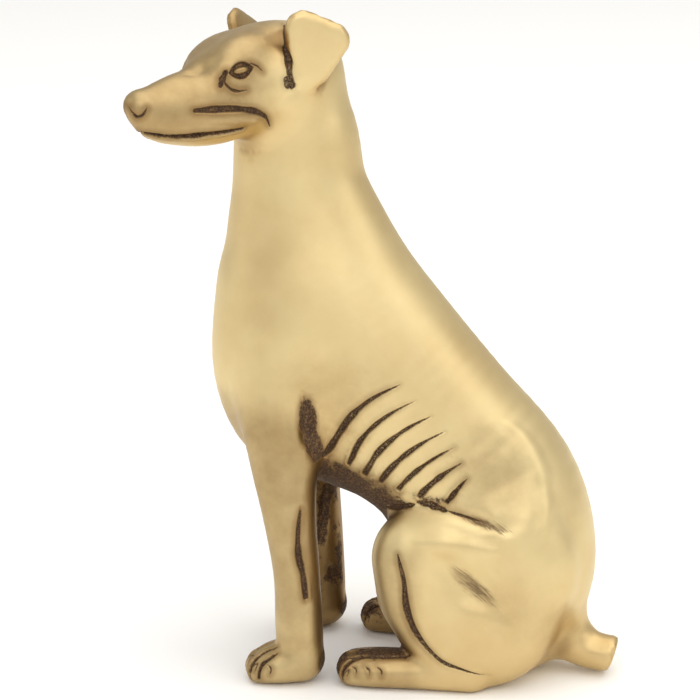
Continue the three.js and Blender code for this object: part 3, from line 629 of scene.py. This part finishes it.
def scoop_reading(points):
    """The depth of the scoops at each point: theirs times (1 - x squared) squared."""
    sunk = np.zeros(len(points))
    for path, half_width, depth in scoops:
        near = close_to(points, path, half_width.max())
        gap, width, deep = across_path(points[near], path, half_width, depth)
        sunk[near] += deep * np.clip(1 - (gap / width) ** 2, 0, 1) ** 2
    return sunk


def groove_reading(points):
    """For each point: the deepest cut there, and how far it is inside the nearest cut's edge.
    A cut's section is a round-bottomed U: its depth times (1 - x squared) to the 0.7, where x is the
    distance from its path over its half width. A lip is a low bell-shaped ridge just outside the edge,
    and it fades as the cut narrows."""
    cut = np.zeros(len(points))
    inside = np.full(len(points), -3.0)
    for path, half_width, depth, lip in grooves:
        near = close_to(points, path, half_width.max() + 1.5)
        gap, width, deep = across_path(points[near], path, half_width, depth)
        section = deep * np.clip(1 - (gap / width) ** 2, 0, 1) ** 0.7
        ridge = np.exp(-((gap - width - LIP_GAP) / LIP_WIDTH) ** 2)
        section -= lip.max() * width / half_width.max() * ridge
        cut[near] = np.where(np.abs(section) > np.abs(cut[near]), section, cut[near])
        inside[near] = np.maximum(inside[near], width - gap)
    return cut, inside


def refined(points, faces, wanted):
    """Halves each edge that is wanted. A face with one, two or three halved edges becomes two, three or
    four faces."""
    edges, which = edges_of(faces)
    ends = points[edges]
    marked = wanted(ends.mean(axis=1), np.linalg.norm(ends[:, 0] - ends[:, 1], axis=1))
    number = np.full(len(edges), -1)
    number[marked] = len(points) + np.arange(marked.sum())
    middles = number[which]
    halved = middles >= 0
    count = halved.sum(axis=1)
    only, unhalved = halved.argmax(axis=1), halved.argmin(axis=1)
    first = np.where(count == 1, only, np.where(count == 2, (unhalved + 1) % 3, 0))
    order = (first[:, None] + np.arange(3)) % 3
    a, b, c = np.take_along_axis(faces, order, axis=1).T
    ab, bc, ca = np.take_along_axis(middles, order, axis=1).T
    made = [faces[count == 0]]
    for wanted_count, patterns in (
        (1, ((a, ab, c), (ab, b, c))),
        (2, ((ab, b, bc), (a, ab, bc), (a, bc, c))),
        (3, ((a, ab, ca), (ab, b, bc), (ca, bc, c), (ab, bc, ca))),
    ):
        chosen = count == wanted_count
        made += [np.stack(corners, axis=1)[chosen] for corners in patterns]
    new = settle(ends.mean(axis=1)[marked])
    return np.concatenate([points, new]), np.concatenate(made)


EYE_CORNERS = ([-14.3, 5.4, 1.5], [-10.4, 6.6, 1.7])
EYE_RADIUS = 2.2
REFINEMENTS = ((0.8, 0.55), (0.3, 0.3), (0.18, 0.17))


def carved_here(reach, length):
    """Marks edges that are longer than the length and within reach of a cut or an eye."""
    def wanted(middles, lengths):
        _, inside = groove_reading(middles)
        for centre in eye_centres:
            inside = np.maximum(inside, EYE_RADIUS - np.linalg.norm(middles - centre, axis=1))
        return (inside > -reach) & (lengths > length)
    return wanted


eye_corners = [settle(on_head(side, EYE_CORNERS), 4) for side in SIDES]
eye_centres = [settle(corners.mean(axis=0, keepdims=True), 4)[0] for corners in eye_corners]
for reach, length in REFINEMENTS:
    skin, faces = refined(skin, faces, carved_here(reach, length))


# Sculpted surface.
# The cuts are sunk into the skin, and each eye is an almond pit with the ball of the eye standing in it.
# What the polishing wheel reaches, what it leaves dark, and where shade is painted into the colour
# are worked out here for the finish below.
PIT, PIT_DEPTH = (1.95, 1.28), 0.55
BALL, BALL_RISE = (1.25, 0.56), 0.7
EYE_REACH = 3.5
# How far out the air is felt for a hollow, and the share that each distance has.
FEELERS = ((1.2, 0.3), (3.0, 0.4), (6.0, 0.3))


def steady(low, high, values):
    """0 below low, 1 above high, and an easy curve between."""
    t = np.clip((values - low) / (high - low), 0, 1)
    return t * t * (3 - 2 * t)


def eye_reading(points, side, corners, centre):
    """How far the eye moves the skin, how deep in the pit a point is, and how far up the ball."""
    out = slope_at(centre[None], form(centre[None]))[0]
    along = np.cross(np.cross(out, corners[1] - corners[0]), out)
    along /= np.linalg.norm(along)
    up = np.cross(along, out) * -side
    up /= np.linalg.norm(up)
    off = points - centre
    a, b = off @ along, off @ up
    close = np.linalg.norm(off, axis=1) < EYE_REACH
    arch = np.clip(1 - (a / PIT[0]) ** 2, 0, 1)
    pit = np.where(close, PIT[1] * arch - np.abs(b), -3.0)
    ball = np.where(close, 1 - (a / BALL[0]) ** 2 - (b / BALL[1]) ** 2, -3.0)
    move = -PIT_DEPTH * steady(-0.06, 0.35, pit) + BALL_RISE * np.sqrt(np.clip(ball, 0, 1))
    return np.where(close, move, 0), pit, ball


cut_depth, cut_inside = groove_reading(skin)
values = in_lots(form, skin)
outward = slope_at(skin, values)
outward /= np.linalg.norm(outward, axis=1, keepdims=True)
hollow = sum(
    share * np.clip(1 - in_lots(form, skin + reach * outward) / reach, 0, 1)
    for reach, share in FEELERS
)
move = -cut_depth - scoop_reading(skin)
for side, corners, centre in zip(SIDES, eye_corners, eye_centres):
    eye_move, pit, ball = eye_reading(skin, side, corners, centre)
    move = np.where(pit > -0.06, eye_move, move)
    cut_inside = np.where(pit > -0.1, np.maximum(cut_inside, pit), cut_inside)
    cut_inside = np.where(ball > -0.2, np.minimum(cut_inside, -0.6 * ball), cut_inside)
surface = skin + outward * move[:, None]
surface[:, 2] = np.maximum(surface[:, 2], 0)

# Three readings of the hand finish: where patina is left in patches, with painted shade on faces that turn
# inward, down and back and at the tail; where the brass is only browner, mostly by painted shade, with the
# brown smear of the scratches; and scuff, where it is scratched.
x, y, z = skin.T
# Faces that turn inward, down and back take patina and painted shade; the skin round the eyes takes painted
# shade.
inward = -np.sign(y) * outward[:, 1]
between_legs = steady(-0.15, 0.6, inward) * steady(42, 34, z) * steady(0.5, 4, np.abs(y)) * steady(12, 4, x)
under_belly = steady(0.1, 0.55, -outward[:, 2]) * steady(-16, -8, x) * steady(16, 8, x)
under_belly *= steady(14, 20, z) * steady(46, 38, z)
behind_forelegs = steady(0.3, 0.85, outward[:, 0]) * steady(-3.5, -5, x) * steady(3, 8, z) * steady(40, 30, z)
from_eye = np.min([np.linalg.norm(skin - centre, axis=1) for centre in eye_centres], axis=0)
round_eyes = steady(4.6, 1.5, from_eye)


def patch(centre, radii, lean=0.0):
    """1 at the centre of an ellipsoid and 0 at its edge, on both flanks. It leans in the body's plane."""
    cos, sin = math.cos(math.radians(lean)), math.sin(math.radians(lean))
    dx, dy, dz = (np.stack([x, np.abs(y), z], axis=1) - centre).T
    along, rise = cos * dx + sin * dz, cos * dz - sin * dx
    return np.clip(1 - (along / radii[0]) ** 2 - (dy / radii[1]) ** 2 - (rise / radii[2]) ** 2, 0, 1)


scuff = np.maximum(
    patch((17.0, 14, 17.2), (6.4, 4, 1.8), -38),
    patch((18.5, 13, 26.6), (5.0, 4, 1.1), -16),
)
patina_shade_patches = np.maximum.reduce([
    # Patina and painted shade on faces that turn inward, down and back.
    0.41 * between_legs,
    0.62 * behind_forelegs * steady(11.2, 9.6, np.abs(y)),
    0.77 * under_belly,
    # Hollows on the inner faces of the forelegs.
    1.2 * patch((-8.3, 7.2, 19.5), (1.3, 2.4, 7.0), -7),
    1.2 * patch((-6.8, 7.4, 9.4), (1.9, 2.4, 2.4)),
    # Deep hollows, below the neck.
    0.9 * steady(0.3, 0.7, hollow) * steady(60, 48, z),
    # Behind the elbow, down to the belly.
    1.15 * patch((-7.5, 12, 41.2), (1.7, 4, 4.2), 8),
    1.15 * patch((-6.7, 11.5, 37.0), (1.5, 4, 4.0), 14),
    0.9 * patch((-1.6, 9.0, 31.6), (6.5, 5, 1.3), -32),
    # The fold of belly and thigh.
    0.8 * patch((5.0, 9.0, 27.6), (3.4, 4, 1.3), 8),
    0.6 * patch((10.5, 12, 29.2), (6.0, 4, 1.6), -6),
    # Tops and toes of the hind feet.
    0.8 * patch((2.5, 11, 5.2), (6.4, 3.6, 1.5), 4),
    0.8 * patch((-2.4, 10.8, 3.4), (2.4, 3.8, 2.4)),
    0.9 * patch((-1.5, 8.6, 3.8), (2.6, 2.2, 1.7)),
    # Patina and painted shade where the tail leaves the rump.
    0.6 * patch((28.8, 3.5, 5.5), (2.4, 3, 3.0)),
])
painted_shade_and_smear = np.maximum.reduce([
    # Patina and painted shade on faces that turn inward, down and back, and painted shade in the hollows.
    between_legs * steady(30, 22, z) + 0.3 * between_legs,
    under_belly,
    behind_forelegs,
    steady(0.15, 0.6, hollow),
    0.75 * scuff,
    # Painted shade on the forelegs, shins and feet.
    0.7 * steady(48, 38, z) * steady(-2, -7, x) * (0.2 + 0.8 * steady(4, 13, z)),
    0.56 * steady(26, 20, z) * steady(11.5, 7.5, x),
    0.36 * steady(15, 7, z) * steady(16, 8, x),
    # Painted shade on the shoulder, flank, top of the thigh, haunch and rump.
    0.5 * patch((-4.0, 11.0, 45.5), (12, 8, 8)),
    0.56 * patch((19.5, 10.5, 33.0), (9.5, 8, 11.5), 20),
    0.45 * patch((17.0, 12.0, 24.5), (6, 5, 3.5)),
    0.42 * patch((22.0, 12.0, 14.0), (10, 8, 9)),
    0.5 * patch((27.0, 8.0, 10.0), (7, 8, 6)),
    0.65 * patch((29.0, 3.5, 6.5), (4.0, 4, 5.0)),
    # Painted shade on the muzzle and cheeks, and round the eyes.
    0.72 * steady(-9, -16, x) * steady(80, 85, z),
    0.75 * round_eyes,
])

# Down to metres, into the solid's own box.
own_low, own_high = surface.min(axis=0), surface.max(axis=0)
cad_low, cad_high = (np.array(corner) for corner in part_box("brass_dog"))
scale = (cad_high - cad_low) / (own_high - own_low)
surface = cad_low + (surface - own_low) * scale

mesh = bpy.data.meshes.new("cast_dog")
mesh.vertices.add(len(surface))
mesh.vertices.foreach_set("co", surface.ravel())
mesh.loops.add(3 * len(faces))
mesh.loops.foreach_set("vertex_index", faces.ravel())
mesh.polygons.add(len(faces))
mesh.polygons.foreach_set("loop_start", np.arange(0, 3 * len(faces), 3))
mesh.polygons.foreach_set("use_smooth", np.ones(len(faces), bool))
mesh.update(calc_edges=True)
for name, reading in (
    ("cut_inside", cut_inside),
    ("patina_shade_patches", patina_shade_patches),
    ("hollow", hollow),
    ("painted_shade_and_smear", painted_shade_and_smear),
    ("scuff", scuff),
):
    mesh.attributes.new(name, "FLOAT", "POINT").data.foreach_set("value", reading.astype(np.float32))
dog = bpy.data.objects.new("cast_dog", mesh)
bpy.context.collection.objects.link(dog)


# Finish of the brass.
# Cast brass, filed, buffed to a satin shine and toned: a brown patina stays in the cuts and hollows, and
# the wheel leaves it ragged at their edges, with bright flecks where it touched. The brass differs in tone
# at random, and shade is painted into its colour: browner brass in hollows and broad patches, and browns
# on faces that turn inward, down and back.
class Signal:
    """A socket that carries a number. Arithmetic on it adds Math nodes."""

    def __init__(self, finish, socket):
        self.finish = finish
        self.socket = socket

    def _pair(self, operation, first, second):
        return self.finish.node("ShaderNodeMath", {"operation": operation}, {0: first, 1: second})

    def __add__(self, other):
        return self._pair("ADD", self, other)

    def __sub__(self, other):
        return self._pair("SUBTRACT", self, other)

    def __rsub__(self, other):
        return self._pair("SUBTRACT", other, self)

    def __mul__(self, other):
        return self._pair("MULTIPLY", self, other)

    __radd__ = __add__
    __rmul__ = __mul__

    def most(self, other):
        return self._pair("MAXIMUM", self, other)

    def eased(self, low, high):
        """0 at low and 1 at high, with an easy curve between."""
        return self.finish.node(
            "ShaderNodeMapRange", {"interpolation_type": "SMOOTHSTEP"},
            {"Value": self, "From Min": low, "From Max": high},
        )


class Finish:
    """The nodes of a material, with one method that adds a node: its type, its settings, then its sockets."""

    def __init__(self, material):
        material.use_nodes = True
        self.tree = material.node_tree
        self.tree.nodes.clear()

    def where(self):
        return self.node("ShaderNodeTexCoord", {}, {}, "Object")

    def node(self, kind, settings, sockets, output=0):
        made = self.tree.nodes.new(kind)
        for key, value in settings.items():
            setattr(made, key, value)
        for key, value in sockets.items():
            if isinstance(value, Signal):
                self.tree.links.new(value.socket, made.inputs[key])
            else:
                made.inputs[key].default_value = value
        return Signal(self, made.outputs[output]) if made.outputs else made

    def noise(self, scale, detail=2.0, roughness=0.5, place=None):
        return self.node(
            "ShaderNodeTexNoise", {},
            {"Vector": place or self.where(), "Scale": scale, "Detail": detail, "Roughness": roughness},
        )

    def reading(self, name):
        return self.node("ShaderNodeAttribute", {"attribute_name": name}, {}, "Fac")

    def blended(self, share, first, second):
        return self.node("ShaderNodeMix", {"data_type": "RGBA"}, {0: share, 6: first, 7: second}, 2)


def rgb(red, green, blue):
    """A colour as read off a picture, 0 to 255, made linear."""
    return tuple(((c / 255 + 0.055) / 1.055) ** 2.4 for c in (red, green, blue)) + (1.0,)


BRIGHT_BRASS = rgb(223, 203, 153)
WARM_BRASS = rgb(204, 176, 124)
# Tarnish brown, also used for painted shade.
TARNISH_AND_SHADE_BROWN = rgb(134, 104, 64)
# The patina's browns, also used for painted shade on faces that turn inward, down and back.
DARK_PATINA_AND_SHADE = rgb(64, 42, 24)
BROWN_PATINA_AND_SHADE = rgb(126, 90, 52)

satin_brass = bpy.data.materials.new("satin_brass")
brass = Finish(satin_brass)
hollow_in = brass.reading("hollow")
patina_shade_patches_in = brass.reading("patina_shade_patches")
cut = brass.reading("cut_inside") * 3.0
ragged = (brass.noise(700, 3, 0.6) - 0.5) * 0.9 + (brass.noise(2600, 2, 0.6) - 0.5) * 0.35
in_cuts = (cut + ragged).eased(-0.12, 0.3)
mottle = (brass.noise(260, 6, 0.72) - 0.5) * 1.1 + (brass.noise(60, 2, 0.5) - 0.5) * 0.7
# Patches of patina, with painted shade where the patches lie on faces that turn inward, down and back.
in_hollows = (patina_shade_patches_in + mottle).eased(0.46, 0.66)
SCRATCH_LEAN = math.radians(-38)
turned = brass.node("ShaderNodeMapping", {}, {"Vector": brass.where(), "Rotation": (0, SCRATCH_LEAN, 0)})
scratch_way = brass.node("ShaderNodeMapping", {}, {"Vector": turned, "Scale": (80, 900, 2600)})
scratches = (brass.noise(1, 3, 0.6, scratch_way) + brass.reading("scuff") * 0.39).eased(0.74, 0.9)
fleck = brass.noise(1300, 4, 0.75).eased(0.5, 0.66)
# The dark of patina in cuts, patches and scratches, carrying the painted shade of the patches.
patina_and_shade_mask = in_cuts.most(in_hollows).most(scratches * 0.7) * (1 - fleck * 0.65)
# Brass tone that differs at random, and painted shade in the hollows.
tone_and_hollow_shade = (brass.noise(16, 3, 0.55) * 0.8 + hollow_in * 0.7 + brass.noise(90, 4, 0.6) * 0.2).eased(0.3, 0.9)
blotch = (brass.noise(120, 4, 0.6) - 0.5) * 0.32
near_cuts = cut.eased(-3.2, 0.2) * 0.3
# Browner brass near the cuts, in random blotches and over patina, and painted shade on broad patches, the
# legs and the head.
tarnish_and_shade = (near_cuts + patina_shade_patches_in * 0.6 + brass.reading("painted_shade_and_smear") * 0.9 + blotch).eased(0.1, 1.0)
bare = brass.blended(tarnish_and_shade * 0.85, brass.blended(tone_and_hollow_shade, BRIGHT_BRASS, WARM_BRASS), TARNISH_AND_SHADE_BROWN)
dark = brass.blended(brass.noise(700, 4, 0.65).eased(0.46, 0.76), DARK_PATINA_AND_SHADE, BROWN_PATINA_AND_SHADE)
grain = brass.noise(1400, 3, 0.6)
pits = brass.noise(520, 2, 0.4).eased(0.76, 0.82)
relief = grain * 0.12 - pits * 0.3 - patina_and_shade_mask * 0.4 + patina_and_shade_mask * brass.noise(1100, 4, 0.7) * 1.2
bump = brass.node("ShaderNodeBump", {}, {"Height": relief, "Strength": 0.6, "Distance": 0.0003}, "Normal")
shader = brass.node("ShaderNodeBsdfPrincipled", {}, {
    "Base Color": brass.blended(patina_and_shade_mask, bare, dark),
    "Metallic": 1 - patina_and_shade_mask * 0.7,
    "Roughness": 0.44 + (brass.noise(30, 3, 0.6) - 0.5) * 0.1 + patina_and_shade_mask * 0.25,
    "Normal": bump,
}, "BSDF")
brass.node("ShaderNodeOutputMaterial", {}, {"Surface": shader})
mesh.materials.append(satin_brass)

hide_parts("brass_dog")
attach(dog, "root")


# Photographer's table.
# A white sweep under the figure, large soft lamps above, in front and at the sides, and a long lens that
# looks down a little on the dog's left side.
FLOOR_WHITE = rgb(252, 251, 249)
TARGET = (-0.0081, 0.0076, 0.1511)
DISTANCE = 1.2087
AZIMUTH, ELEVATION = math.radians(8), math.radians(16.5)

floor_mesh = bpy.data.meshes.new("floor")
floor_mesh.from_pydata([(-5, -5, 0), (5, -5, 0), (5, 5, 0), (-5, 5, 0)], [], [(0, 1, 2, 3)])
floor = bpy.data.objects.new("floor", floor_mesh)
bpy.context.collection.objects.link(floor)
white_sweep = bpy.data.materials.new("white_sweep")
white = Finish(white_sweep)
sweep = white.node("ShaderNodeBsdfPrincipled", {}, {"Base Color": FLOOR_WHITE, "Roughness": 0.9}, "BSDF")
white.node("ShaderNodeOutputMaterial", {}, {"Surface": sweep})
floor_mesh.materials.append(white_sweep)


def lamp(name, place, aim, size, power):
    """A soft square lamp at a place, facing the aim."""
    light = bpy.data.lights.new(name, "AREA")
    light.shape = "RECTANGLE"
    light.size, light.size_y = size
    light.energy = power
    holder = bpy.data.objects.new(name, light)
    holder.location = place
    way = Vector(aim) - Vector(place)
    holder.rotation_euler = way.to_track_quat("-Z", "Y").to_euler()
    bpy.context.collection.objects.link(holder)


lamp("overhead", (0.4, 0.1, 2.4), (0, 0.1, 0.1), (3.2, 3.2), 41)
lamp("front", (0.2, -2.4, 1.8), (0, 0, 0.2), (2.8, 1.8), 23)
lamp("left", (-2.4, -0.4, 1.2), (0, 0, 0.15), (1.6, 1.6), 6)
lamp("right", (2.5, -0.9, 1.5), (0, 0, 0.15), (1.8, 1.8), 10)

world = bpy.data.worlds.new("studio")
world.use_nodes = True
world.node_tree.nodes["Background"].inputs["Color"].default_value = (1, 0.985, 0.96, 1)
world.node_tree.nodes["Background"].inputs["Strength"].default_value = 0.66
bpy.context.scene.world = world
bpy.context.scene.view_settings.view_transform = "Standard"

camera_data = bpy.data.cameras.new("camera")
camera_data.lens = 140.7
camera_data.sensor_width = 36
camera_data.shift_x = -0.03
camera_data.shift_y = -0.0171
camera = bpy.data.objects.new("camera", camera_data)
back = Vector((
    math.sin(AZIMUTH) * math.cos(ELEVATION),
    -math.cos(AZIMUTH) * math.cos(ELEVATION),
    math.sin(ELEVATION),
))
camera.location = Vector(TARGET) + DISTANCE * back
camera.rotation_euler = back.to_track_quat("Z", "Y").to_euler()
bpy.context.collection.objects.link(camera)
bpy.context.scene.camera = camera
